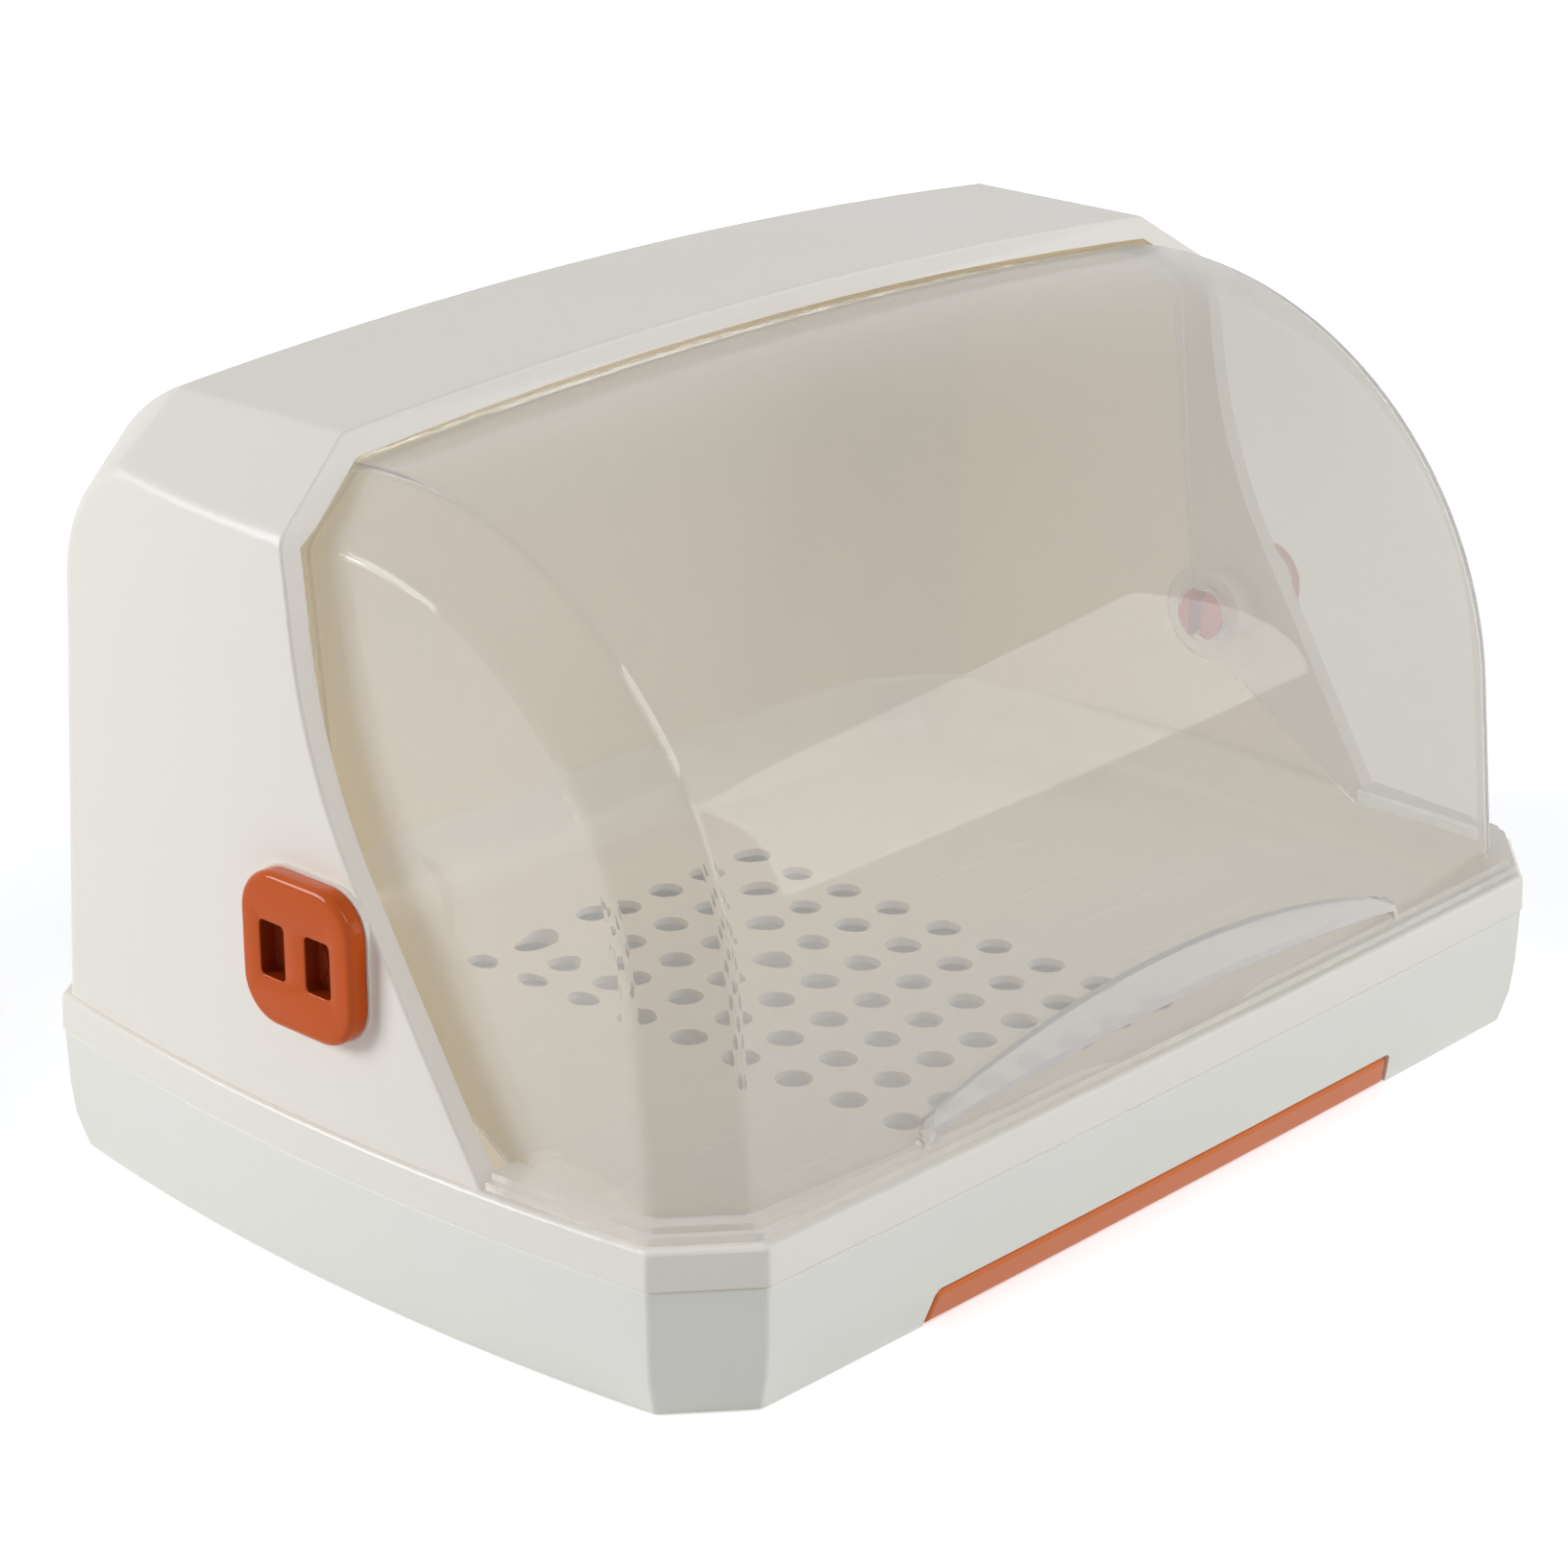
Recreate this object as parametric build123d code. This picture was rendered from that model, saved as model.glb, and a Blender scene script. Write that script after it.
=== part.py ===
from build123d import *
from math import cos, hypot, radians, sin, sqrt, tan
import os

# Covered drying box for baby bottles, in millimetres.
# X runs along the front, Y towards the back, Z up. The origin is on the ground, under the middle.

# Casing outline in plan, at the parting line between the lower base and the drain deck.
half_depth = 129.0            # to the tip of the lid's handle in front, and to the bowed back
side_corner_x = 170.8         # half width where the sides meet the corner facets
side_bow = 8.1                # how far the sides swell between the corners
handle_overhang = 4.5         # how far the tip of the lid's handle stands out over the front
front_bow = 1.2
front_facet_x = 21.2
front_facet_y = 18.3
back_bow = 9.4
back_facet_x = 21.2
facet_slope_share = 0.684     # fall of the hood's corner facet for each unit along X
corner_round = 2.5            # on the upright edges of the casing
overrun = 6.0                 # how far cutting bodies reach past what they cut

# Heights.
foot_stand = 0.5              # height of the base's underside over the ground
bevel_top = 9.4
bevel_bottom_inset = 4.4
bevel_top_inset = 1.9
wall_turn_z = 18.0            # the base's wall stands nearly upright over this height
wall_turn_inset = 1.0
base_step = 0.5               # the base stands this far inside the deck at the parting line
parting_z = 33.6
deck_top_z = 43.9
deck_top_inset = 0.4
deck_edge_r = 1.5             # round on the deck's top edge
parting_groove = 0.5          # small bevel on both sides of the parting line

# Walls.
shell_wall = 2.5
base_floor = 2.0
basin_wall = 2.2
lid_wall = 2.2
tray_wall = 1.6

# Drain deck.
basin_inset = 7.0             # from the casing outline to the mouth of the basin
basin_depth = 19.9
basin_draft = 12.0            # degrees
basin_corner_r = 16.0
basin_floor_r = 11.0
basin_mouth_r = 2.5
drain_hole_r = 5.0
drain_columns = 7
drain_rows = 9
drain_pitch_x = 16.6
drain_pitch_y = 18.4
floor_rib_length = 70.0
floor_rib_width = 3.0
floor_rib_height = 0.6
floor_rib_bevel = 0.5
floor_rib_count = 7
floor_rib_pitch = 24.0
floor_rib_start_x = 72.0
skirt_depth = 5.0
skirt_wall = 1.6
skirt_clearance = 0.2

# Hood.
hood_step = 1.7               # the hood's foot stands this far inside the deck's edge
hood_lean = 3.3               # how far each cheek leans in, up to the roof facets
roof_end_gap = 23.6           # from the side corners in to the ends of the roof
lid_roof_gap = 1.0            # between the lid's curve and the rim over it
roof_crown = 6.0
back_wall_lean = 8.0          # how far the back wall leans in, up to the round
round_drop = 52.5             # the round starts this far below the roof
round_reach = 37.4            # and ends this far in front of its start
roof_back_bow = 1.0
facet_round = 5.0             # along both edges of its facets
round_sagitta_share = 0.157   # of the chord: a turn of 70 degrees
roof_mitre_share = 0.15       # the roof's rear crease moves back by this for each unit outwards
rim_depth = 5.8               # thickness of the rim round the opening
rim_width = 6.0
rim_round = 1.0
opening_foot_ahead = 57.5     # the opening's foot, bend and top, from the middle of the lid's curve
opening_bend_ahead = 1.6
opening_bend_rise = 48.3
opening_bend_r = 138.0
cheek_top_behind = 5.1
cheek_top_drop = 17.4
roof_front_behind = 12.4
roof_front_drop = 0.4

# Hood tongues, which stand in pockets along the deck's edge.
tongue_width = 14.0
tongue_thick = 1.4
tongue_drop = 5.0
tongue_inset = 0.5            # behind the hood's outer face
tongue_clearance = 0.15
tongue_side_pitch = 74.0
tongue_side_y = 24.0
tongue_back_pitch = 92.0

# Pivot of the lid.
pivot_y = -1.8
pivot_z = 88.0
pivot_r = 6.8
pivot_clearance = 0.08
seat_clearance = 0.3          # between parts that move past each other

# Lid. Its curve has its middle a little behind and below the pivot, so it sinks from the rim as it opens.
curve_behind = 3.3
curve_below = 1.5
lid_side_gap = 5.2            # from the hood's cheeks in to the lid's sides
lid_front_gap = 13.3          # from the casing's front back to the lid's curve
lid_facet_width = 17.9
lid_facet_fall = 15.2
lid_edge_r = 6.0              # round along both edges of the lid's facets
lid_crown = 6.0
lid_top_angle = 97.0          # from straight ahead, about the middle of the curve
lid_flare_angle = 5.7
lid_flange_inset = 2.5
lid_flange_height = 2.0
lid_step_inset = 4.4
lid_step_height = 1.8
lid_bead_angle = 1.6           # the thicker edge along the lid's top
lid_bead_depth = 1.2
ear_r = 14.0
boss_r = 8.75
boss_rise = 1.8
handle_half_x = 92.0
handle_end_z = 51.0
handle_mid_z = 66.0
handle_wall = 2.2
handle_drop_share = 0.45      # fall of the handle for each unit forwards
handle_end_setback = 8.5      # how far the handle's ends stand behind its tip
handle_leg = 2.5              # how far out its two ends turn down to the flange

# Pivot plugs.
cap_side = 39.0
cap_corner_r = 11.5
cap_thick = 5.3
cap_round = 1.5
cap_slot_floor = 0.7
cap_slot_y = 8.7
cap_slot_z = 14.0
cap_slot_offset = 8.0
cap_slot_r = 1.5
seat_rise = 0.5               # the hood's pads give each cap a flat seat
cap_margin = 0.5
prong_gap = 4.6
barb_rise = 0.9
barb_length = 3.0
hood_boss_wall = 4.0

# Drip tray and its pull.
pull_top_half = 90.5
pull_bottom_half = 94.0
pull_top_z = 9.3
pull_bottom_z = 0.6
pull_thick = 3.4
pull_gap = 0.8
pull_corner_r = 1.5
pull_round = 1.4              # on the edges of its face
tray_half_x = 87.0
tray_back_gap = 23.6          # from the back corners in to the tray's back
tray_height = 6.4
rail_wall = 2.0
rail_height = 7.6
rail_lip = 1.6

# Feet.
foot_r = 7.0
foot_side_margin = 30.8       # from the side corners in to the feet
foot_end_margin = 31.6        # from the back corners in to the feet
foot_recess = 0.8
foot_clearance = 0.1

# Worked out from the sizes above.
side_mid_x = side_corner_x + side_bow
front_mid_y = half_depth - handle_overhang
front_corner_y = front_mid_y - front_bow
back_mid_y = half_depth
back_corner_y = back_mid_y - back_bow
back_facet_y = back_facet_x * facet_slope_share
side_low_y = -(front_corner_y - front_facet_y)
side_high_y = back_corner_y - back_facet_y
side_middle_y = (side_low_y + side_high_y) / 2
base_floor_z = foot_stand + base_floor
tray_under_z = base_floor_z + seat_clearance
pull_back_y = -(front_corner_y - bevel_bottom_inset - pull_thick)
basin_floor_z = deck_top_z - basin_depth
base_wall_fall = (wall_turn_inset - base_step) / (parting_z - wall_turn_z)
skirt_inset = shell_wall + base_step + base_wall_fall * skirt_depth + skirt_clearance
curve_y = pivot_y + curve_behind
curve_z = pivot_z - curve_below
lid_facet_r = front_corner_y + curve_y - lid_front_gap
lid_side_r = lid_facet_r - lid_facet_fall
lid_half_x = side_corner_x - hood_step - lid_side_gap
lid_facet_x = lid_half_x - lid_facet_width
roof_half_x = side_corner_x - roof_end_gap
roof_z = curve_z + lid_facet_r + lid_roof_gap + rim_depth
round_start_y = back_corner_y - hood_step - back_wall_lean
round_start_z = roof_z - round_drop
roof_back_y = round_start_y - round_reach
opening_foot_y = curve_y - opening_foot_ahead
opening_bend_y = curve_y - opening_bend_ahead
opening_bend_z = curve_z + opening_bend_rise
cheek_top_y = curve_y + cheek_top_behind
cheek_top_z = roof_z - cheek_top_drop
roof_front_y = curve_y + roof_front_behind
roof_front_z = roof_z - roof_front_drop
facet_stretch = sqrt(1.0 + facet_slope_share ** 2)
lean_share = hood_lean / (cheek_top_z - deck_top_z)
cap_seat_x = side_mid_x - hood_step - lean_share * (pivot_z - deck_top_z) + seat_rise
lid_under_z = deck_top_z + seat_clearance
handle_end_y = half_depth - handle_end_setback
tray_back_y = back_corner_y - tray_back_gap
foot_x = side_corner_x - foot_side_margin
foot_y = back_corner_y - foot_end_margin


def casing_face(inset, height, round_r=corner_round):
    """The casing outline drawn in by inset, as a level face at height, its corners rounded."""
    front_len = hypot(front_facet_x, front_facet_y)
    back_len = hypot(back_facet_x, back_facet_y)
    side_x = side_corner_x - inset
    front_y = -(front_corner_y - inset)
    back_y = back_corner_y - inset
    front_side_y = -(front_corner_y - front_facet_y - inset * (front_len - front_facet_y) / front_facet_x)
    front_turn_x = side_corner_x - front_facet_x - inset * (front_len - front_facet_x) / front_facet_y
    back_side_y = back_corner_y - back_facet_y - inset * (back_len - back_facet_y) / back_facet_x
    back_turn_x = side_corner_x - back_facet_x - inset * (back_len - back_facet_x) / back_facet_y
    mid_y = (front_side_y + back_side_y) / 2
    outline = Wire([
        ThreePointArc((-front_turn_x, front_y), (0, -(front_mid_y - inset)), (front_turn_x, front_y)),
        Line((front_turn_x, front_y), (side_x, front_side_y)),
        ThreePointArc((side_x, front_side_y), (side_mid_x - inset, mid_y), (side_x, back_side_y)),
        Line((side_x, back_side_y), (back_turn_x, back_y)),
        ThreePointArc((back_turn_x, back_y), (0, back_mid_y - inset), (-back_turn_x, back_y)),
        Line((-back_turn_x, back_y), (-side_x, back_side_y)),
        ThreePointArc((-side_x, back_side_y), (-(side_mid_x - inset), mid_y), (-side_x, front_side_y)),
        Line((-side_x, front_side_y), (-front_turn_x, front_y)),
    ])
    face = Face(outline)
    return Pos(0, 0, height) * fillet(face.vertices(), round_r)


def casing_stack(levels):
    """Straight-sided bodies between outlines given as (inset, height), joined one on the other."""
    faces = [casing_face(inset, height) for inset, height in levels]
    body = None
    for lower, upper in zip(faces, faces[1:]):
        stage = loft([lower, upper], ruled=True)
        body = stage if body is None else body + stage
    return body


def block(x_low, x_high, y_low, y_high, z_low, z_high):
    """A box between two corners."""
    size = (x_high - x_low, y_high - y_low, z_high - z_low)
    middle = ((x_low + x_high) / 2, (y_low + y_high) / 2, (z_low + z_high) / 2)
    return Pos(*middle) * Box(*size)


def side_prism(points, half_x):
    """A prism across X from an outline of (y, z) points."""
    face = Plane.YZ * make_face(Polyline(*points, close=True))
    return extrude(face, half_x, both=True)


# Lower base: an open tray with a bevelled foot, a mouth for the drip tray and two guide rails.

def base_outside():
    """The base's outer shape: a bevel at the foot, and a wall that turns upright under the parting line."""
    return casing_stack([
        (bevel_bottom_inset, foot_stand),
        (bevel_top_inset, bevel_top),
        (wall_turn_inset, wall_turn_z),
        (base_step, parting_z - parting_groove),
        (base_step + parting_groove, parting_z),
    ])


def pull_outline(grow):
    """The trapezoid of the pull seen from the front, grown by a gap on its ends and top."""
    low_z, high_z = -overrun, pull_top_z + grow
    bottom_x = pull_bottom_half + grow
    top_x = pull_top_half + grow
    outline = Polyline((-bottom_x, low_z), (bottom_x, low_z), (top_x, high_z), (-top_x, high_z), close=True)
    face = make_face(outline)
    face = fillet(face.vertices().group_by(Axis.Y)[-1], pull_corner_r + grow)
    return extrude(Plane.XZ * face, half_depth)


def lower_base():
    hollow = casing_stack([
        (bevel_bottom_inset + shell_wall, base_floor_z),
        (bevel_top_inset + shell_wall, bevel_top + base_floor),
        (wall_turn_inset + shell_wall, wall_turn_z),
        (base_step + shell_wall, parting_z),
        (base_step + shell_wall, parting_z + overrun),
    ])
    mouth = pull_outline(pull_gap) & block(
        -side_mid_x, side_mid_x, -half_depth, pull_back_y + pull_gap, 0, parting_z)
    body = base_outside() - hollow - mouth
    rail_front_y = pull_back_y + pull_gap
    rail_top_z = base_floor_z + rail_height
    rail_x = tray_half_x + seat_clearance
    for side in (-1, 1):
        rail = block(rail_x, rail_x + rail_wall, rail_front_y, tray_back_y, base_floor_z, rail_top_z)
        lip = block(rail_x - rail_lip, rail_x + rail_wall, rail_front_y, tray_back_y,
                    rail_top_z, rail_top_z + rail_lip)
        guide = rail + lip
        body = body + (guide if side > 0 else mirror(guide, Plane.YZ))
    stop_y = tray_back_y + seat_clearance
    body = body + block(-rail_x, rail_x, stop_y, stop_y + rail_wall, base_floor_z, rail_top_z)
    for x, y in foot_places():
        pocket = Cylinder(foot_r + foot_clearance, foot_recess)
        body = body - Pos(x, y, foot_stand + foot_recess / 2) * pocket
    return body


def foot_places():
    """Where the four feet stand."""
    return [(x, y) for y in (-foot_y, foot_y) for x in (-foot_x, foot_x)]


def foot(x, y):
    """A round pad that sits in its pocket under the base."""
    height = foot_stand + foot_recess
    pad = Pos(x, y, height / 2) * Cylinder(foot_r, height)
    return chamfer(pad.edges().group_by(Axis.Z)[0], foot_recess / 2)


# Drain deck: the band over the parting line, and a basin with a pierced floor.

def basin_body(grow, rise):
    """The basin's shape, grown by a wall; rise lifts its mouth over the deck."""
    mouth_inset = basin_inset - grow - rise * tan(radians(basin_draft))
    mouth = casing_face(mouth_inset, deck_top_z + rise, basin_corner_r + grow)
    body = extrude(mouth, -(basin_depth + grow + rise), taper=basin_draft)
    return fillet(body.edges().group_by(Axis.Z)[0], basin_floor_r + grow)


def drain_holes():
    """Cutters for the grid of drain holes."""
    cutter = Cylinder(drain_hole_r, overrun * 2)
    grid = GridLocations(drain_pitch_x, drain_pitch_y, drain_columns, drain_rows)
    return [Pos(0, 0, basin_floor_z) * place * cutter for place in grid]


def floor_ribs():
    """Low ribs that run from both ends of the basin towards the holes."""
    sunk = basin_wall / 2
    rib = Box(floor_rib_length, floor_rib_width, floor_rib_height + sunk)
    rib = chamfer(rib.edges().group_by(Axis.Z)[-1], floor_rib_bevel)
    rib_z = basin_floor_z + (floor_rib_height - sunk) / 2
    ribs = []
    for side in (-1, 1):
        rib_x = side * (floor_rib_start_x + floor_rib_length / 2)
        for place in GridLocations(0, floor_rib_pitch, 1, floor_rib_count):
            ribs.append(Pos(rib_x, 0, rib_z) * place * rib)
    return ribs


def top_face(body):
    """The highest face of a body."""
    return body.faces().sort_by(Axis.Z)[-1]


def tongue_ring(grow):
    """The hood's tongues, or with grow the pockets in the deck that take them."""
    outer_inset = hood_step + tongue_inset - grow
    inner_inset = hood_step + tongue_inset + tongue_thick + grow
    low_z = deck_top_z - tongue_drop - grow
    high_z = deck_top_z + tongue_thick
    ring = casing_stack([(outer_inset, low_z), (outer_inset, high_z)])
    ring = ring - casing_stack([(inner_inset, low_z - overrun), (inner_inset, high_z + overrun)])
    half = tongue_width / 2 + grow
    windows = []
    for x in (-tongue_back_pitch, 0, tongue_back_pitch):
        windows.append(block(x - half, x + half, 0, back_mid_y, low_z, high_z))
    for y in (tongue_side_y - tongue_side_pitch / 2, tongue_side_y + tongue_side_pitch / 2):
        windows.append(block(-side_mid_x, side_mid_x, y - half, y + half, low_z, high_z))
    return [ring & window for window in windows]


def drain_deck():
    outer = casing_stack([
        (parting_groove, parting_z),
        (0, parting_z + parting_groove),
        (deck_top_inset, deck_top_z),
    ])
    skirt = casing_stack([(skirt_inset, parting_z - skirt_depth), (skirt_inset, parting_z + parting_groove)])
    hollow = casing_stack([
        (skirt_inset + skirt_wall, parting_z - skirt_depth - overrun),
        (skirt_inset + skirt_wall, deck_top_z - basin_wall),
    ])
    body = outer + skirt - hollow
    body = body + basin_body(basin_wall, 0)
    body = body - basin_body(0, overrun)
    body = fillet(top_face(body).inner_wires()[0].edges(), basin_mouth_r)
    body = fillet(top_face(body).outer_wire().edges(), deck_edge_r)
    body = body + floor_ribs()
    body = body - drain_holes()
    return body - tongue_ring(tongue_clearance)


# Hood: a crowned roof that rounds into the back wall, with facets along both ends.

def wrap_profile(x, offset, middle):
    """The hood's outline in (y, z) at x, moved out by offset; middle is 1 at the crown and 0 beside it."""
    bow_y = offset + back_bow * middle
    foot_z = deck_top_z - overrun
    foot = Vector(x, back_corner_y - hood_step + bow_y, foot_z)
    turn = Vector(x, round_start_y + bow_y, round_start_z)
    ridge = Vector(x, roof_back_y + roof_mitre_share * offset + roof_back_bow * middle,
                   roof_z + offset + roof_crown * middle)
    span = ridge - turn
    bulge = (ridge + turn) * 0.5 + Vector(0, span.Z, -span.Y) * round_sagitta_share
    roof_front = Vector(x, -half_depth, ridge.Z)
    foot_front = Vector(x, -half_depth, foot_z)
    return Face(Wire([
        Line(foot_front, foot),
        Line(foot, turn),
        ThreePointArc(turn, bulge, ridge),
        Line(ridge, roof_front),
        Line(roof_front, foot_front),
    ]))


def wrap_body(wall):
    """The roof, back and end facets as one body, drawn in by a wall."""
    turn_x = roof_half_x - wall * (facet_stretch - 1) / facet_slope_share
    end_x = side_mid_x + overrun
    end_offset = -facet_slope_share * (end_x - roof_half_x) - wall * facet_stretch
    body = loft([wrap_profile(-turn_x, -wall, 0), wrap_profile(0, -wall, 1), wrap_profile(turn_x, -wall, 0)])
    for side in (-1, 1):
        ends = [wrap_profile(side * turn_x, -wall, 0), wrap_profile(side * end_x, end_offset, 0)]
        body = body + loft(ends, ruled=True)
    return body


def cheek_face(wall, height):
    """A level cut of the space between the two bowed, leaning cheeks, drawn in by a wall."""
    inset = hood_step + lean_share * (height - deck_top_z) + wall
    corner_x, middle_x = side_corner_x - inset, side_mid_x - inset
    front_y, back_y = side_low_y - half_depth, side_high_y + half_depth
    return Pos(0, 0, height) * Face(Wire([
        Line((-corner_x, side_low_y), (-corner_x, front_y)),
        Line((-corner_x, front_y), (corner_x, front_y)),
        Line((corner_x, front_y), (corner_x, side_low_y)),
        ThreePointArc((corner_x, side_low_y), (middle_x, side_middle_y), (corner_x, side_high_y)),
        Line((corner_x, side_high_y), (corner_x, back_y)),
        Line((corner_x, back_y), (-corner_x, back_y)),
        Line((-corner_x, back_y), (-corner_x, side_high_y)),
        ThreePointArc((-corner_x, side_high_y), (-middle_x, side_middle_y), (-corner_x, side_low_y)),
    ]))


def cheek_body(wall):
    """Everything between the two cheeks, drawn in by a wall."""
    levels = [deck_top_z - overrun, roof_z + roof_crown + overrun]
    return loft([cheek_face(wall, height) for height in levels], ruled=True)


def behind_opening(shift, floor_z):
    """All that lies behind the edge of the hood's opening, moved back by shift."""
    slope = (opening_bend_y - opening_foot_y) / (opening_bend_z - deck_top_z)
    low_y = opening_foot_y + slope * (floor_z - deck_top_z) + shift
    top_y = roof_front_y + shift
    top_z = roof_z + roof_crown + overrun
    back_y = half_depth + overrun
    edge = FilletPolyline(
        (low_y, floor_z),
        (opening_bend_y + shift, opening_bend_z),
        (cheek_top_y + shift, cheek_top_z),
        (top_y, roof_front_z),
        (top_y, top_z),
        radius=[opening_bend_r, rim_depth / 2, rim_depth / 2],
    )
    rest = Polyline((top_y, top_z), (back_y, top_z), (back_y, floor_z), (low_y, floor_z))
    face = Plane.YZ * make_face([*edge.edges(), *rest.edges()])
    return extrude(face, side_mid_x + overrun, both=True)


def hood_outside():
    """The hood's outer body behind its opening, with rounds along its facets and round the opening."""
    body = wrap_body(0) & cheek_body(0) & block(
        -side_mid_x, side_mid_x, opening_foot_y - overrun * 2, half_depth + overrun,
        deck_top_z - overrun, roof_z + roof_crown + overrun)
    body = fillet(facet_edges(body), facet_round) & behind_opening(0, deck_top_z)
    return fillet(opening_edges(body), rim_round)


def facet_edges(body):
    """The edges that run the length of the hood's facets, beside the roof and beside the cheeks."""
    edges = []
    for edge in body.edges():
        middle, size = edge.center(), edge.bounding_box().size
        if max(size.Y, size.Z) > facet_round * 7 and abs(middle.X) > roof_half_x - overrun \
                and middle.Y > opening_foot_y - overrun and middle.Z > deck_top_z:
            edges.append(edge)
    return edges


def opening_edges(body):
    """The edge of the hood's opening, but not the creases across its face."""
    front = [face for face in body.faces() if face.normal_at(face.center()).Y < -0.5
             and abs(face.normal_at(face.center()).X) < 0.2 and face.center().Y < roof_front_y + rim_depth]
    edges = [edge for face in front for edge in face.edges()]
    return [edge for edge in edges if edge.center().Z > deck_top_z + rim_round
            and sum(edge.is_same(other) for other in edges) == 1]


def cap_pad(side, outer_x, inner_x, grow):
    """A rounded square across the pivot, between two distances from the middle."""
    outline = RectangleRounded(cap_side + grow * 2, cap_side + grow * 2, cap_corner_r + grow)
    plane = Plane(origin=(side * inner_x, pivot_y, pivot_z), x_dir=(0, 1, 0), z_dir=(side, 0, 0))
    return extrude(plane * outline, outer_x - inner_x)


def pivot_rod(side, outer_x, inner_x, radius):
    """A round rod on the pivot axis, between two distances from the middle."""
    plane = Plane(origin=(side * inner_x, pivot_y, pivot_z), x_dir=(0, 1, 0), z_dir=(side, 0, 0))
    return extrude(plane * Circle(radius), outer_x - inner_x)


def hood():
    shell = hood_outside()
    void = wrap_body(shell_wall) & cheek_body(shell_wall) & behind_opening(rim_width, deck_top_z - overrun)
    mouth = wrap_body(rim_depth) & cheek_body(rim_depth)
    body = shell - void - mouth
    for side in (-1, 1):
        body = body + cap_pad(side, cap_seat_x, cap_seat_x - shell_wall, cap_margin)
        body = body + pivot_rod(side, cap_seat_x - shell_wall / 2, lid_half_x + seat_clearance,
                                pivot_r + hood_boss_wall)
        body = body - pivot_rod(side, cap_seat_x + overrun, lid_half_x - overrun, pivot_r + pivot_clearance)
    return body + tongue_ring(0)


# Lid: a clear shell turned about the pivot axis, flaring to a stepped flange.

def lid_plane(turn):
    """The half plane from the middle of the lid's curve, at an angle over straight ahead.

    Its normal points down the lid.
    """
    angle = radians(turn)
    return Plane(origin=(0, curve_y, curve_z), x_dir=(1, 0, 0), z_dir=(0, -sin(angle), -cos(angle)))


def lid_section(wall, turn):
    """The lid's section from the middle of its curve outwards, at an angle, drawn in by a wall."""
    slope = (lid_facet_r - lid_side_r) / (lid_half_x - lid_facet_x)
    half_x = lid_half_x - wall
    facet_r = lid_facet_r - wall
    facet_x = lid_facet_x - wall * (sqrt(1.0 + slope ** 2) - 1) / slope
    side_r = facet_r - slope * (half_x - facet_x)
    face = Face(Wire([
        Line((-half_x, 0), (-half_x, side_r)),
        Line((-half_x, side_r), (-facet_x, facet_r)),
        ThreePointArc((-facet_x, facet_r), (0, facet_r + lid_crown), (facet_x, facet_r)),
        Line((facet_x, facet_r), (half_x, side_r)),
        Line((half_x, side_r), (half_x, 0)),
        Line((half_x, 0), (-half_x, 0)),
    ]))
    edges = [vertex for vertex in face.vertices() if vertex.Y > side_r / 2]
    return lid_plane(turn) * fillet(edges, lid_edge_r - wall)


def lid_turn(face, angle):
    """A section turned up and back about the middle of the lid's curve."""
    return revolve(face, Axis((0, curve_y, curve_z), (-1, 0, 0)), angle)


def lid_body(wall, end_angle):
    """The lid's outer or inner body: turned over the top, and straight below the flare angle."""
    face = lid_section(wall, lid_flare_angle)
    foot = extrude(face, curve_z, dir=lid_plane(lid_flare_angle).z_dir)
    return lid_turn(face, end_angle - lid_flare_angle) + foot


def lid_bead():
    """The thicker edge along the lid's top."""
    start = lid_top_angle - lid_bead_angle
    band = lid_section(lid_wall, start) - lid_section(lid_wall + lid_bead_depth, start)
    return lid_turn(band, lid_bead_angle)


def lid_handle():
    """An arched lip that stands out from the lid's lower front, its ends turned down to the flange."""
    inner_x = handle_half_x - handle_wall / 2
    inner_z = handle_end_z - handle_wall / 2
    leg_x, leg_z = handle_half_x + handle_leg, lid_under_z + lid_flange_height
    upper = ThreePointArc((-handle_half_x, handle_end_z), (0, handle_mid_z), (handle_half_x, handle_end_z))
    lower = ThreePointArc((inner_x, inner_z), (0, handle_mid_z - handle_wall), (-inner_x, inner_z))
    right_leg = Polyline((handle_half_x, handle_end_z), (leg_x, leg_z), (leg_x - handle_wall, leg_z),
                         (inner_x, inner_z))
    left_leg = Polyline((-inner_x, inner_z), (handle_wall - leg_x, leg_z), (-leg_x, leg_z),
                        (-handle_half_x, handle_end_z))
    root_y = -(lid_facet_r - overrun)
    rise = (front_corner_y + root_y) * handle_drop_share
    plane = Plane(origin=(0, root_y, rise), x_dir=(1, 0, 0), z_dir=(0, -1, 0))
    face = plane * make_face([upper, *right_leg.edges(), lower, *left_leg.edges()])
    slant = Vector(0, -1, -handle_drop_share)
    reach = half_depth + root_y + overrun
    arch = extrude(face, reach * slant.length, dir=slant.normalized())
    tip = ThreePointArc((-leg_x, -handle_end_y), (0, -half_depth), (leg_x, -handle_end_y))
    sides = Polyline((leg_x, -handle_end_y), (leg_x, root_y), (-leg_x, root_y), (-leg_x, -handle_end_y))
    reach_face = make_face([tip, *sides.edges()])
    return arch & extrude(Pos(0, 0, lid_under_z + lid_flange_height / 2) * reach_face, roof_z)


def lid_flange():
    """The two steps along the foot of the lid, in front of the hood."""
    flange_top = lid_under_z + lid_flange_height
    step_top = flange_top + lid_step_height
    steps = casing_stack([(lid_flange_inset, lid_under_z), (lid_flange_inset, flange_top)])
    steps = steps + casing_stack([(lid_step_inset, flange_top), (lid_step_inset, step_top)])
    back_y = opening_foot_y - seat_clearance * 2
    return steps & block(-side_mid_x, side_mid_x, -half_depth, back_y, lid_under_z, step_top)


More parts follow.
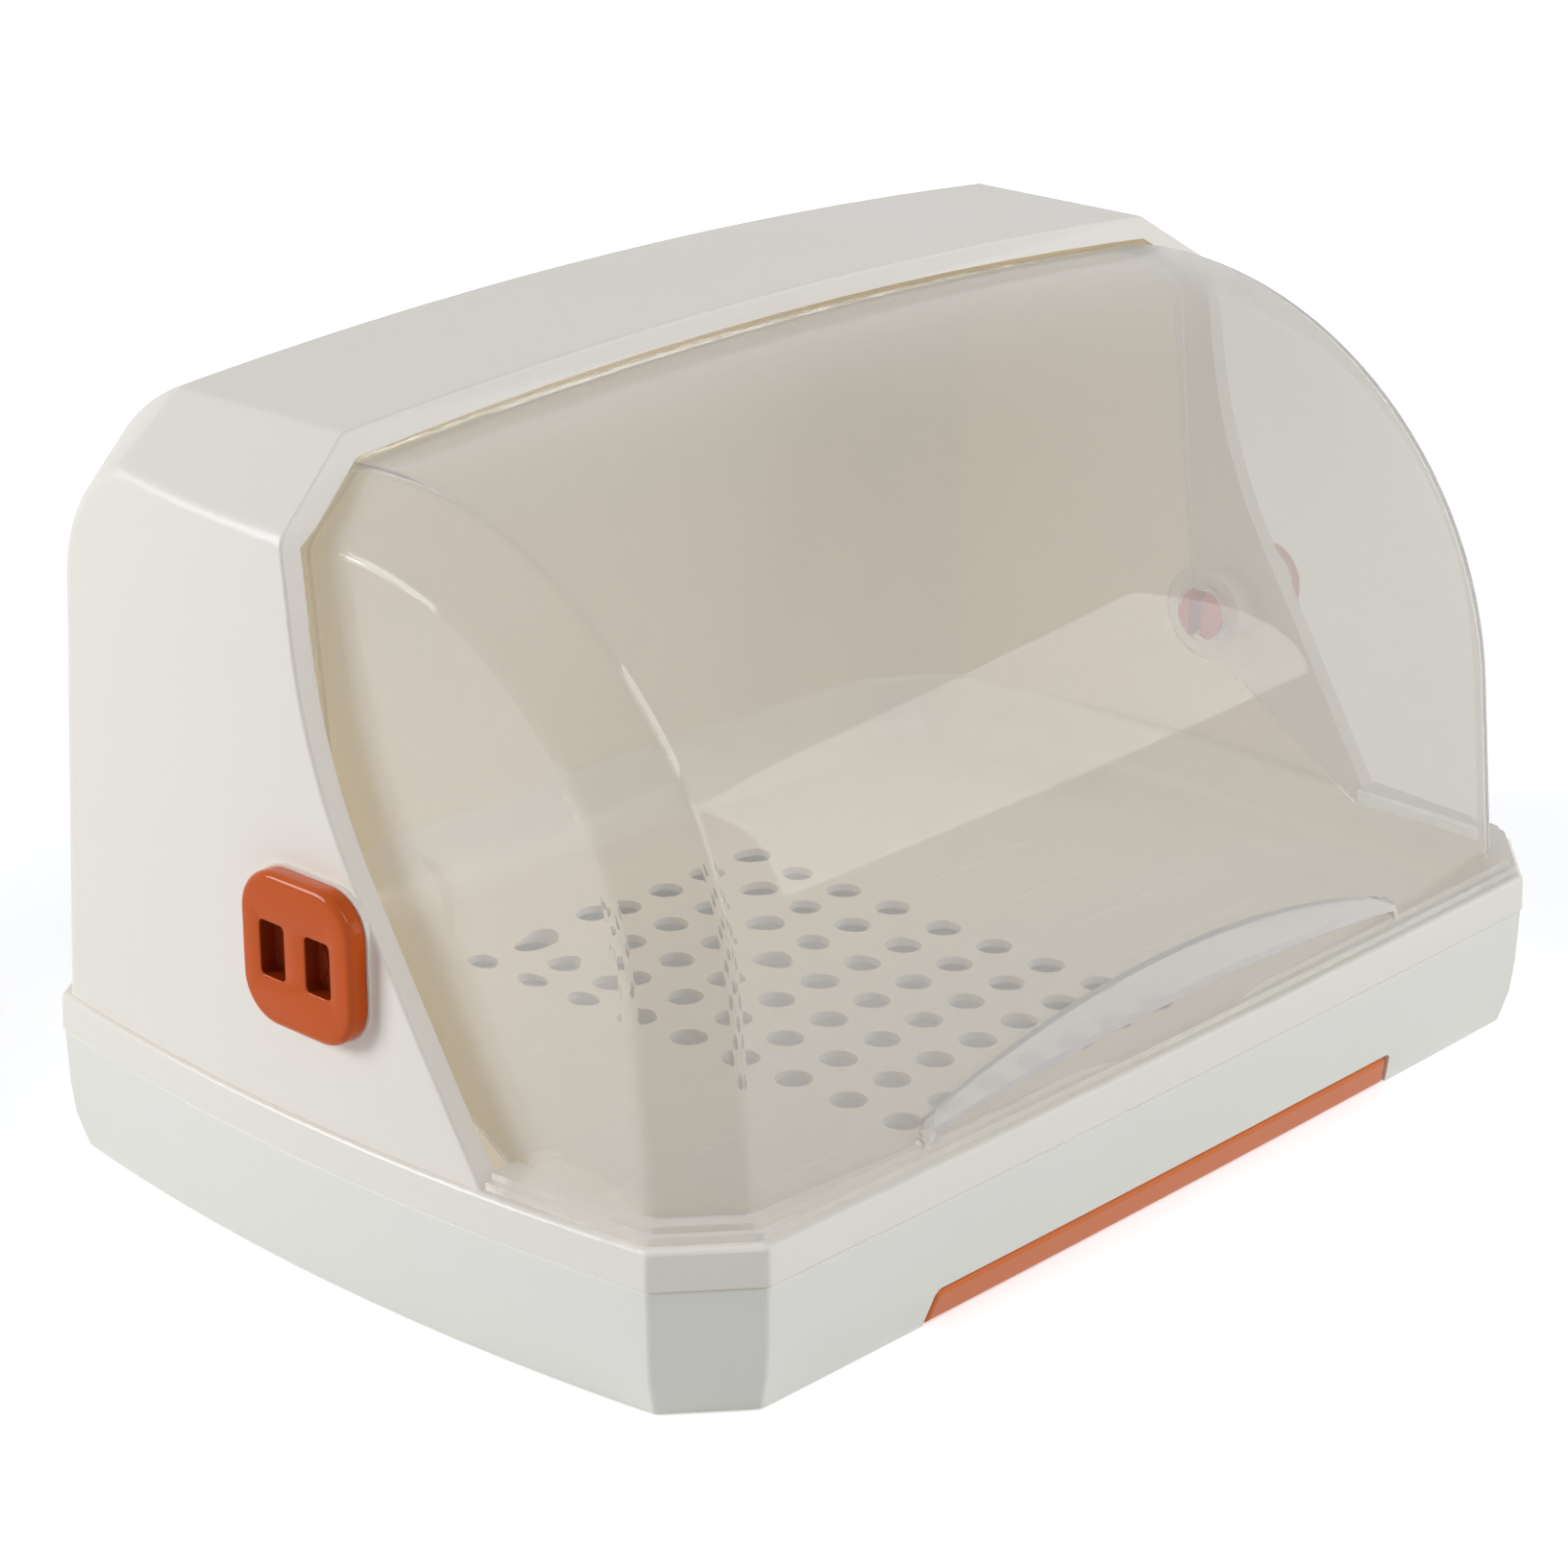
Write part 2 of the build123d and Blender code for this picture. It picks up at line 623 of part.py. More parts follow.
def lid_below():
    """What the lid leaves free under its flange and under its two ears."""
    low = block(-side_mid_x, side_mid_x, -half_depth * 2, half_depth, -half_depth, lid_under_z)
    ear_low_z = pivot_z - ear_r
    return low + side_prism([
        (opening_foot_y, lid_under_z - overrun),
        (opening_foot_y, lid_under_z),
        (pivot_y - ear_r / 2, ear_low_z),
        (half_depth, ear_low_z),
        (half_depth, lid_under_z - overrun),
    ], side_mid_x)


def lid():
    body = lid_body(0, lid_top_angle) + lid_flange() + lid_handle()
    body = body - lid_body(lid_wall, lid_top_angle + lid_flare_angle)
    body = body + lid_bead() - lid_below()
    inner_x = lid_half_x - lid_wall
    for side in (-1, 1):
        body = body + pivot_rod(side, lid_half_x, inner_x, ear_r)
        body = body + pivot_rod(side, inner_x, inner_x - boss_rise, boss_r)
        body = body - pivot_rod(side, side_mid_x, inner_x - overrun, pivot_r + pivot_clearance)
    return body


# Pivot plugs: a square cap outside the cheek and two barbed prongs through the lid's eye.

def cap_slots(side):
    """The two rounded slots in the cap, one on each side of the shank."""
    floor_x = cap_seat_x + cap_slot_floor
    plane = Plane(origin=(side * floor_x, pivot_y, pivot_z), x_dir=(0, 1, 0), z_dir=(side, 0, 0))
    slot = extrude(plane * RectangleRounded(cap_slot_y, cap_slot_z, cap_slot_r), cap_thick)
    return [Pos(0, shift, 0) * slot for shift in (-cap_slot_offset, cap_slot_offset)]


def pivot_plug(side):
    cap = cap_pad(side, cap_seat_x + cap_thick, cap_seat_x, 0)
    cap = fillet(cap.edges().group_by(Axis.X)[-1 if side > 0 else 0], cap_round)
    barb_x = lid_half_x - lid_wall - boss_rise - seat_clearance
    tip_x = barb_x - barb_length
    shank = pivot_rod(side, cap_seat_x, tip_x, pivot_r)
    barb_plane = Plane(origin=(side * barb_x, pivot_y, pivot_z), x_dir=(0, 1, 0), z_dir=(-side, 0, 0))
    barb = loft([
        barb_plane * Circle(pivot_r + barb_rise),
        barb_plane.offset(barb_length) * Circle(pivot_r - barb_rise),
    ], ruled=True)
    split = block(tip_x - overrun, cap_seat_x, pivot_y - prong_gap / 2, pivot_y + prong_gap / 2,
                  pivot_z - ear_r, pivot_z + ear_r)
    if side < 0:
        split = mirror(split, Plane.YZ)
    return cap - cap_slots(side) + (shank + barb - split)


# Drip tray: a shallow pan that slides out forwards behind its pull.

def tray_pull():
    """The pull fills the base's mouth, flush with its bevel."""
    space = block(-side_mid_x, side_mid_x, -half_depth, pull_back_y, pull_bottom_z, pull_top_z)
    body = base_outside() & pull_outline(0) & space
    return fillet(body.faces().sort_by(Axis.Y)[0].edges(), pull_round)


def drip_tray():
    tray_top_z = tray_under_z + tray_height
    pan = block(-tray_half_x, tray_half_x, pull_back_y, tray_back_y, tray_under_z, tray_top_z)
    well_x = tray_half_x - tray_wall
    return pan - block(-well_x, well_x, pull_back_y + tray_wall, tray_back_y - tray_wall,
                       tray_under_z + tray_wall, tray_top_z + overrun)


pieces = {
    "lower_base": lower_base(),
    "drain_deck": drain_deck(),
    "hood": hood(),
    "lid": lid(),
    "left_pivot_plug": pivot_plug(-1),
    "right_pivot_plug": pivot_plug(1),
    "tray_pull": tray_pull(),
    "drip_tray": drip_tray(),
}
corner_names = ["front_left", "front_right", "back_left", "back_right"]
for corner, (x, y) in zip(corner_names, foot_places()):
    pieces["foot_" + corner] = foot(x, y)

os.makedirs("parts", exist_ok=True)
for name, piece in pieces.items():
    export_step(piece, "parts/" + name + ".step")
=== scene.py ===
"""Looks of a covered drying box for baby bottles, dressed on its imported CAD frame.

Everything is in metres in the frame of the CAD: X along the front, Y towards the back, Z up,
with the origin on the ground under the middle of the box. Only names that end in _mm are in millimetres.
"""

import logging
from collections.abc import Callable
from dataclasses import dataclass
from enum import Enum
from math import cos, radians, tan

import bpy
from mathutils import Euler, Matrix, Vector


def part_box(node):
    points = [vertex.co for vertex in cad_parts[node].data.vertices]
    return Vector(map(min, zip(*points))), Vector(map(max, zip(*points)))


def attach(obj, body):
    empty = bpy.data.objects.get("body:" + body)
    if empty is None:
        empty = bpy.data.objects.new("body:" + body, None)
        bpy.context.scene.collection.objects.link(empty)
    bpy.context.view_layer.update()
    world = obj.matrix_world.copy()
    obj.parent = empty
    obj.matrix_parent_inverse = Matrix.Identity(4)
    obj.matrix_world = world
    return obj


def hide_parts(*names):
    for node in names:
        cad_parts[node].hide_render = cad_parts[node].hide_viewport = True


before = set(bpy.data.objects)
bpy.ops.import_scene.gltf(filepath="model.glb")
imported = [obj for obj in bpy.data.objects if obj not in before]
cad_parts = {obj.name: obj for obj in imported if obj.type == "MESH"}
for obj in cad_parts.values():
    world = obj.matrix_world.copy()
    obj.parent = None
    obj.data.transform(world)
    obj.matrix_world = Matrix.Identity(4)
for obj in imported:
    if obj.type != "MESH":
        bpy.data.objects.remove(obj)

LOG = logging.getLogger("drying_box")
MILLIMETRE = 0.001
# Points closer together than this are one point.
MERGE_DISTANCE = 0.002 * MILLIMETRE
# Points closer to a level or an outline than this lie on it.
NEAR = 0.01 * MILLIMETRE
# How far a cutting block reaches past what it cuts, and a shank into its cap.
OVERLAP = 1.0 * MILLIMETRE
# A face looks along an axis if at least this share of its normal does.
FACING = 0.999
WHITE = (1.0, 1.0, 1.0, 1.0)
# The colour sockets of a Mix node, whose names repeat for each type of data.
MIX_A, MIX_B, MIX_RESULT = 6, 7, 2


class Body(Enum):
    """The bodies of the frame that a piece can ride on."""

    CASE = "case"
    LID = "lid"
    TRAY = "tray"


class Slot(Enum):
    """The material slots of the record, one of which each shell is given."""

    CASING = "casing"
    BASE_SHELL = "base_shell"
    CLEAR_LID = "clear_lid"
    ORANGE_TRIM = "orange_trim"
    ORANGE_PULL = "orange_pull"
    TRAY_SHELL = "tray_shell"
    FOOT_PAD = "foot_pad"


class Axis(Enum):
    """The axes that edges are picked along, by their place in a vector."""

    X = 0
    Z = 2


class Element(Enum):
    """The elements of a mesh that can be picked."""

    VERTEX = "VERT"
    EDGE = "EDGE"
    FACE = "FACE"


class Operation(Enum):
    """What a block does to the piece that it is combined with."""

    CUT = "DIFFERENCE"
    ADD = "UNION"


def from_hex(code: str) -> tuple[float, float, float, float]:
    """Turn an sRGB colour into linear light.

    Args:
        code: The colour as "#RRGGBB".

    Returns:
        Linear red, green, blue and an alpha of 1.
    """
    channels = [int(code[start:start + 2], 16) / 255 for start in (1, 3, 5)]
    linear = [c / 12.92 if c <= 0.04045 else ((c + 0.055) / 1.055) ** 2.4 for c in channels]
    return (linear[0], linear[1], linear[2], 1.0)


def per_metre(size_mm: float) -> float:
    """Give the scale of a pattern whose features have a size in millimetres."""
    return 1.0 / (size_mm * MILLIMETRE)


def add_node(tree: bpy.types.NodeTree, kind: str, inputs: dict[str | int, object] | None = None,
             **settings: object) -> bpy.types.Node:
    """Add a node with its settings, and fill or link its sockets.

    Args:
        tree: The node tree that takes the node.
        kind: The type name of the node.
        inputs: A value, or an output socket to link, for each socket by its name, or by its number
            where names repeat.
        **settings: Properties of the node itself.

    Returns:
        The new node.
    """
    node = tree.nodes.new(kind)
    for name, value in settings.items():
        setattr(node, name, value)
    for key, value in (inputs or {}).items():
        if isinstance(value, bpy.types.NodeSocket):
            tree.links.new(value, node.inputs[key])
        else:
            node.inputs[key].default_value = value
    return node


def new_tree(name: str) -> tuple[bpy.types.Material, bpy.types.NodeTree]:
    """Make an empty node material.

    Args:
        name: The name of the material.

    Returns:
        The material and its node tree.
    """
    material = bpy.data.materials.new(name)
    material.use_nodes = True
    material.node_tree.nodes.clear()
    return material, material.node_tree


@dataclass(frozen=True)
class MouldedPlastic:
    """An opaque plastic, injection moulded in a spark-eroded or a polished tool.

    Its tone drifts slowly from colour to flow_colour, as the melt flowed. Its roughness varies between
    its two values over a fine grain. passed_light is what a lamp's light keeps on its way through
    a milky wall, and it is empty for a wall that lets none through.
    """

    name: str
    colour: str
    flow_colour: str
    roughness: tuple[float, float]
    grain_mm: float
    grain_depth_mm: float
    flow_mm: float = 60.0
    ior: float = 1.49
    gloss_level: float = 0.5
    passed_light: str = ""

    def build(self) -> bpy.types.Material:
        """Build the node material.

        Returns:
            The material, with its tone, gloss and grain on Object coordinates.
        """
        material, tree = new_tree(self.name)
        place = add_node(tree, "ShaderNodeTexCoord").outputs["Object"]
        flow = add_node(tree, "ShaderNodeTexNoise", {
            "Vector": place, "Scale": per_metre(self.flow_mm), "Detail": 2.0, "Roughness": 0.45})
        tone = add_node(tree, "ShaderNodeMix", {
            "Factor": flow.outputs["Fac"], MIX_A: from_hex(self.colour),
            MIX_B: from_hex(self.flow_colour)}, data_type="RGBA")
        grain = add_node(tree, "ShaderNodeTexNoise", {
            "Vector": place, "Scale": per_metre(self.grain_mm), "Detail": 3.0, "Roughness": 0.6})
        gloss = add_node(tree, "ShaderNodeMapRange", {
            "Value": grain.outputs["Fac"], "From Min": 0.3, "From Max": 0.7,
            "To Min": self.roughness[0], "To Max": self.roughness[1]})
        relief = add_node(tree, "ShaderNodeBump", {
            "Height": grain.outputs["Fac"], "Strength": 1.0,
            "Distance": self.grain_depth_mm * MILLIMETRE})
        shader = add_node(tree, "ShaderNodeBsdfPrincipled", {
            "Base Color": tone.outputs[MIX_RESULT], "Roughness": gloss.outputs["Result"],
            "IOR": self.ior, "Specular IOR Level": self.gloss_level,
            "Normal": relief.outputs["Normal"]})
        surface = shader.outputs["BSDF"]
        if self.passed_light:
            path = add_node(tree, "ShaderNodeLightPath")
            passed = add_node(tree, "ShaderNodeBsdfTransparent", {"Color": from_hex(self.passed_light)})
            surface = add_node(tree, "ShaderNodeMixShader", {
                0: path.outputs["Is Shadow Ray"], 1: surface,
                2: passed.outputs["BSDF"]}).outputs["Shader"]
        add_node(tree, "ShaderNodeOutputMaterial", {"Surface": surface})
        return material


@dataclass(frozen=True)
class ClearPlastic:
    """A clear plastic wall with a little haze, moulded in a polished tool.

    Its haze is the share of light that it scatters, seen square on and edge on.
    """

    name: str
    tint: str
    haze_colour: str
    haze: float
    edge_haze: float
    passed_light: str = "#F6F4F2"
    roughness: float = 0.0
    ior: float = 1.5
    ripple_mm: float = 45.0
    ripple_depth_mm: float = 0.004

    def build(self) -> bpy.types.Material:
        """Build the node material.

        Returns:
            The material: it bends and mirrors what the eye sees, and its haze scatters a little light,
            more the flatter it is seen. Lamps pass it a little dimmed, and bounced light freely.
        """
        material, tree = new_tree(self.name)
        place = add_node(tree, "ShaderNodeTexCoord").outputs["Object"]
        ripple = add_node(tree, "ShaderNodeTexNoise", {
            "Vector": place, "Scale": per_metre(self.ripple_mm), "Detail": 1.0})
        relief = add_node(tree, "ShaderNodeBump", {
            "Height": ripple.outputs["Fac"], "Strength": 1.0,
            "Distance": self.ripple_depth_mm * MILLIMETRE})
        facing = add_node(tree, "ShaderNodeLayerWeight", {
            "Blend": 0.5, "Normal": relief.outputs["Normal"]})
        cloud = add_node(tree, "ShaderNodeMapRange", {
            "Value": facing.outputs["Facing"], "From Min": 0.5, "To Min": self.haze,
            "To Max": self.edge_haze}, interpolation_type="SMOOTHSTEP")
        through = add_node(tree, "ShaderNodeBsdfGlass", {
            "Color": from_hex(self.tint), "Roughness": self.roughness, "IOR": self.ior,
            "Normal": relief.outputs["Normal"]})
        milk = add_node(tree, "ShaderNodeBsdfPrincipled", {
            "Base Color": from_hex(self.haze_colour), "Roughness": 0.5, "Specular IOR Level": 0.0})
        surface = add_node(tree, "ShaderNodeMixShader", {
            0: cloud.outputs["Result"], 1: through.outputs["BSDF"], 2: milk.outputs["BSDF"]})
        path = add_node(tree, "ShaderNodeLightPath")
        free = add_node(tree, "ShaderNodeBsdfTransparent")
        bounced = add_node(tree, "ShaderNodeMixShader", {
            0: path.outputs["Is Diffuse Ray"], 1: surface.outputs["Shader"], 2: free.outputs["BSDF"]})
        dimmed = add_node(tree, "ShaderNodeBsdfTransparent", {"Color": from_hex(self.passed_light)})
        lit = add_node(tree, "ShaderNodeMixShader", {
            0: path.outputs["Is Shadow Ray"], 1: bounced.outputs["Shader"], 2: dimmed.outputs["BSDF"]})
        add_node(tree, "ShaderNodeOutputMaterial", {"Surface": lit.outputs["Shader"]})
        return material


Finish = MouldedPlastic | ClearPlastic

# The casing's wall is milky: the light that comes through it makes the inside of the box warm and bright.
WALL_LIGHT = "#A9A18A"
# Polypropylene from a spark-eroded tool: a soft satin that spreads highlights over a fine, even grain.
# The real grain is about a tenth of this size and would not show, so it is drawn at half a millimetre.
CREAM_CASING = MouldedPlastic(
    "satin_polypropylene_cream", "#F1EADF", "#EFE7DA", roughness=(0.34, 0.44),
    grain_mm=0.5, grain_depth_mm=0.0015, passed_light=WALL_LIGHT)
# The inside faces of the same moulding, off the tool's duller core. Their warmer, paler cream is painted
# light: it stands for the warm light that comes through the milky wall and bounces inside the box.
CREAM_PAINTED_WARM_INSIDE = MouldedPlastic(
    "dull_polypropylene_cream_painted_warm_inside", "#FAF0DC", "#F7ECD6", roughness=(0.42, 0.52),
    grain_mm=0.6, grain_depth_mm=0.0015, passed_light=WALL_LIGHT)
# The same plastic from the deck's own batch, a little less warm and off a smoother tool.
CREAM_DECK = MouldedPlastic(
    "satin_polypropylene_cream_deck", "#F2ECE0", "#F0E9DC", roughness=(0.28, 0.34),
    grain_mm=0.5, grain_depth_mm=0.0004, passed_light=WALL_LIGHT)
# The inside of the deck, off a polished core: the glossiest skin of the casing. Its paler cream is painted
# light, which brightens the basin seen through the lid.
BASIN_PAINTED_BRIGHT = MouldedPlastic(
    "polished_polypropylene_basin_painted_bright", "#FBF4E8", "#F9F2E4", roughness=(0.22, 0.28),
    grain_mm=0.5, grain_depth_mm=0.0004, passed_light=WALL_LIGHT)
# The same plastic in a cooler, slightly greenish batch.
GREY_BASE = MouldedPlastic(
    "satin_polypropylene_grey_white", "#EEECE1", "#EBE9DD", roughness=(0.36, 0.46),
    grain_mm=0.5, grain_depth_mm=0.0015, passed_light=WALL_LIGHT)
# The tray's plastic is white, and it is drawn the whitest of all as painted light: that stands for the
# light which leaks in through the holes and the milky walls of the base.
WHITE_TRAY_PAINTED_BRIGHT = MouldedPlastic(
    "satin_polypropylene_cool_white", "#F8F9FB", "#F6F7FA", roughness=(0.36, 0.46),
    grain_mm=0.5, grain_depth_mm=0.0015)
# ABS from a polished tool: a deep colour under a sharp gloss.
ORANGE_CAP = MouldedPlastic(
    "gloss_abs_burnt_orange", "#CD560A", "#C85007", roughness=(0.05, 0.1),
    grain_mm=0.9, grain_depth_mm=0.0005, flow_mm=14.0, ior=1.53, gloss_level=0.2)
# The pockets in the caps are duller, and drawn darker as painted shade in the recesses.
ORANGE_POCKET_PAINTED_SHADE = MouldedPlastic(
    "dull_abs_burnt_orange_pocket_painted_shade", "#8E3008", "#842B07", roughness=(0.3, 0.4),
    grain_mm=0.6, grain_depth_mm=0.002, flow_mm=14.0, ior=1.53, gloss_level=0.3)
# An orange close to the caps', from a finely blasted tool, which greys its highlights.
ORANGE_PULL = MouldedPlastic(
    "satin_abs_orange", "#D96E20", "#D3681A", roughness=(0.3, 0.4),
    grain_mm=0.5, grain_depth_mm=0.003, flow_mm=20.0, ior=1.53)
# Thermoplastic rubber: dull, slightly uneven, without a highlight.
FOOT_RUBBER = MouldedPlastic(
    "matt_rubber_grey", "#B9B7B0", "#AEACA5", roughness=(0.75, 0.85),
    grain_mm=0.7, grain_depth_mm=0.02, flow_mm=6.0)
# Styrene copolymer from a polished tool: clear, nearly neutral, with the faint waviness of a moulded skin.
CLEAR_LID = ClearPlastic("polished_san_clear", "#F3F2EF", "#FBF8F4", haze=0.2, edge_haze=0.4)
# The handle's lip and the flange, gated and thick, cool cloudy and scatter far more of the light.
CLOUDY_LIP = ClearPlastic(
    "cloudy_san_lip", "#F8F6F3", "#FDFBF6", haze=0.34, edge_haze=0.6, roughness=0.05)


@dataclass(frozen=True)
class Round:
    """A rounded edge, with its radius and the number of faces across it."""

    radius_mm: float
    faces: int

    def bevel(self) -> None:
        """Round the selected edges, and leave edit mode."""
        bpy.ops.mesh.bevel(offset=self.radius_mm * MILLIMETRE, segments=self.faces, affect="EDGES")
        bpy.ops.object.mode_set(mode="OBJECT")


@dataclass
class Shell:
    """A moulded shell that carries the form of one CAD node, with merged and smoothly shaded faces.

    Edges under smooth_degrees are shaded smooth. level_shading keeps flat faces flat beside rounds.
    """

    node: str
    body: Body
    slot: Slot
    finish: Finish
    smooth_degrees: float = 28.0
    level_shading: bool = True

    def build(self) -> bpy.types.Object:
        """Copy the node's mesh, merge it, dress it and refine it.

        Returns:
            The piece, which stands for the node.
        """
        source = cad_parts[self.node]
        piece = bpy.data.objects.new(self.node + "_shell", source.data.copy())
        bpy.context.scene.collection.objects.link(piece)
        edit_whole(piece)
        bpy.ops.mesh.customdata_custom_splitnormals_clear()
        bpy.ops.mesh.remove_doubles(threshold=MERGE_DISTANCE)
        bpy.ops.object.mode_set(mode="OBJECT")
        dress(piece, self.finish, self.body)
        self.refine(piece)
        bpy.ops.object.shade_smooth_by_angle(angle=radians(self.smooth_degrees))
        if self.level_shading:
            level_normals(piece)
        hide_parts(self.node)
        return piece

    def refine(self, piece: bpy.types.Object) -> None:
        """Leave a plain shell as it is."""


@dataclass
class Hood(Shell):
    """The hood, whose inner faces have the duller finish of the tool's core, in a warmer, paler cream that
    is painted light.
    """

    painted_warm_inside: MouldedPlastic = CREAM_PAINTED_WARM_INSIDE
    chamber_middle: tuple[float, float, float] = (0.0, 0.02, 0.09)

    def refine(self, piece: bpy.types.Object) -> None:
        """Give the faces that look at the middle of the chamber the duller finish with its painted warm
        light.

        Args:
            piece: The merged hood.
        """
        middle = Vector(self.chamber_middle)
        # The inner faces get a warmer, paler cream: painted light of the warm glow inside the box.
        add_finish(piece, self.painted_warm_inside, lambda face: face.normal.dot(middle - face.center) > 0.0)


@dataclass
class Deck(Shell):
    """The deck, with the ribs of its basin pressed down to the faint lines that the eye sees.

    The basin's mouth is given by its half sizes, and a face looks up if its normal rises by look_up.
    """

    basin: MouldedPlastic = BASIN_PAINTED_BRIGHT
    mouth_half_mm: tuple[float, float] = (171.0, 118.0)
    floor_z_mm: float = 24.0
    rib_height_mm: float = 0.6
    rib_kept_mm: float = 0.25
    rib_slack_mm: float = 0.12
    look_up: float = 0.5

    def refine(self, piece: bpy.types.Object) -> None:
        """Lower the tops of the ribs, and give the basin its glossier finish, whose paler cream is painted
        light.

        Args:
            piece: The merged deck.
        """
        top = (self.floor_z_mm + self.rib_height_mm) * MILLIMETRE
        pick_vertices(piece, lambda place: abs(place.z - top) < self.rib_slack_mm * MILLIMETRE)
        bpy.ops.transform.translate(value=(0.0, 0.0, (self.rib_kept_mm - self.rib_height_mm) * MILLIMETRE))
        bpy.ops.object.mode_set(mode="OBJECT")
        # The basin's faces get a paler cream: painted light that brightens the inside of the box.
        add_finish(piece, self.basin, lambda face: self.in_basin(face.center / MILLIMETRE, face.normal))

    def in_basin(self, place_mm: Vector, normal: Vector) -> bool:
        """Tell whether a face is part of the basin.

        Args:
            place_mm: The middle of the face, in millimetres.
            normal: Its normal.

        Returns:
            Whether it lies in the basin's mouth and looks up or inwards.
        """
        half_x, half_y = self.mouth_half_mm
        inside = (abs(place_mm.x) < half_x and abs(place_mm.y) < half_y
                  and place_mm.z > self.floor_z_mm - self.rib_height_mm)
        inwards = normal.x * place_mm.x + normal.y * place_mm.y < 0.0
        return inside and (normal.z > self.look_up or (normal.z > -self.look_up and inwards))


@dataclass
class Lid(Shell):
    """The clear lid, whose handle and flange are cloudier than its wall.

    The outside of its wall curves about an axis at curve_y_mm and curve_z_mm, bows out by a crown
    in the middle of its width, and flares by an angle under that axis. The handle stands off there.
    """

    lip: ClearPlastic = CLOUDY_LIP
    flange_top_mm: float = 48.1
    curve_y_mm: float = 1.5
    curve_z_mm: float = 86.5
    curve_r_mm: float = 111.5
    crown_mm: float = 6.0
    crown_half_x_mm: float = 156.0
    flare_degrees: float = 5.7
    handle_half_x_mm: float = 97.0
    handle_low_mm: float = 48.2
    handle_high_mm: float = 68.0
    stand_off_mm: float = 1.1

    def refine(self, piece: bpy.types.Object) -> None:
        """Give the handle's and the flange's faces their cloudier finish.

        Args:
            piece: The merged lid.
        """
        add_finish(piece, self.lip, lambda face: face.center.z < self.flange_top_mm * MILLIMETRE
                   or self.on_handle(face.center / MILLIMETRE))

    def on_handle(self, place_mm: Vector) -> bool:
        """Tell whether a point is on the handle.

        Args:
            place_mm: The point, in millimetres.

        Returns:
            Whether it stands out over the flared part of the wall, in the handle's width and height.
        """
        in_height = self.handle_low_mm < place_mm.z < self.handle_high_mm
        if abs(place_mm.x) > self.handle_half_x_mm or not in_height:
            return False
        flare = radians(self.flare_degrees)
        radius = self.curve_r_mm + self.crown_mm * (1.0 - (place_mm.x / self.crown_half_x_mm) ** 2)
        wall_y = self.curve_y_mm - radius / cos(flare) - (self.curve_z_mm - place_mm.z) * tan(flare)
        return place_mm.y < wall_y - self.stand_off_mm


